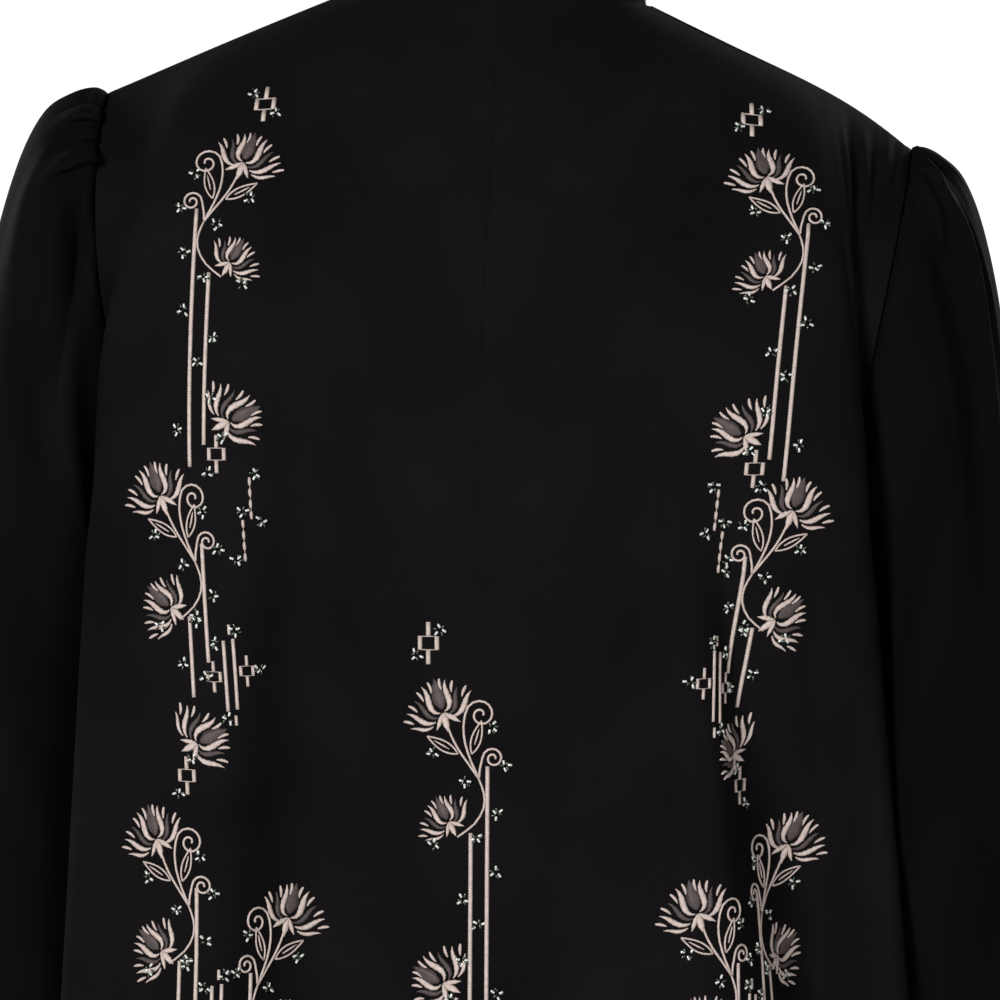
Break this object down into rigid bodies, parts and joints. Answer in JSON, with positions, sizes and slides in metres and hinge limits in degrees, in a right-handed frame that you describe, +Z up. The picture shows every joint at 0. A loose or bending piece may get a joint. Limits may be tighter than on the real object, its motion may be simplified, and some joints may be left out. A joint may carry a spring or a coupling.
{
  "type": "abaya cloak",
  "caption": "Full-length open-front cloak in the hollow form of its wear, with pleated puffed sleeves, a narrow neck band and embroidered columns down the back.",
  "frame": {"origin": "midway between the two neck points, where the wearer's shoulders carry the cloak", "axes": "+Z up; +Y towards the wearer's back, so the open front faces -Y; +X towards the wearer's left"},
  "size_m": [0.6575, 0.4375, 1.42],
  "materials": {
    "black_crepe": "black crepe with a fine twill grain and a soft dull sheen",
    "pale_thread": "pale pink-beige satin-stitch embroidery thread with a silky sheen",
    "dark_thread": "dark grey-brown satin-stitch embroidery thread",
    "glass_beads": "small silver-lined glass bugle beads with a faint green tint"
  },
  "bodies": {
    "root": {"back_left": "black_crepe", "back_right": "black_crepe", "front_left": "black_crepe", "front_right": "black_crepe", "sleeve_left": "black_crepe", "sleeve_right": "black_crepe", "neck_band": "black_crepe"}
  },
  "joints": []
}
